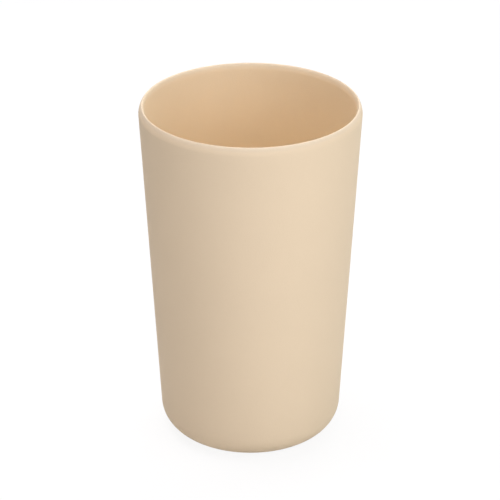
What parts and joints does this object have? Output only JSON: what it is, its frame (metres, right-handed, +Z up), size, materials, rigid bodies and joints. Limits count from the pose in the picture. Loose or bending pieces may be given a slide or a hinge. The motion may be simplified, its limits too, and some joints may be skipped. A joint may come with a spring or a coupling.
{
  "type": "bathroom tumbler",
  "caption": "Tapered round bathroom tumbler in matte plastic, with a softly rounded lip, rounded base corner and shallow recessed foot.",
  "frame": {"origin": "centre of the flat ring that the tumbler stands on, in the plane of the surface under it", "axes": "+Z up along the axis of revolution, towards the mouth; +X and +Y are level and interchangeable"},
  "size_m": [0.0746, 0.0746, 0.12],
  "materials": {
    "body_plastic": "matte as moulded with a very fine grain, warm beige"
  },
  "bodies": {
    "root": {"tumbler_body": "body_plastic"}
  },
  "joints": []
}
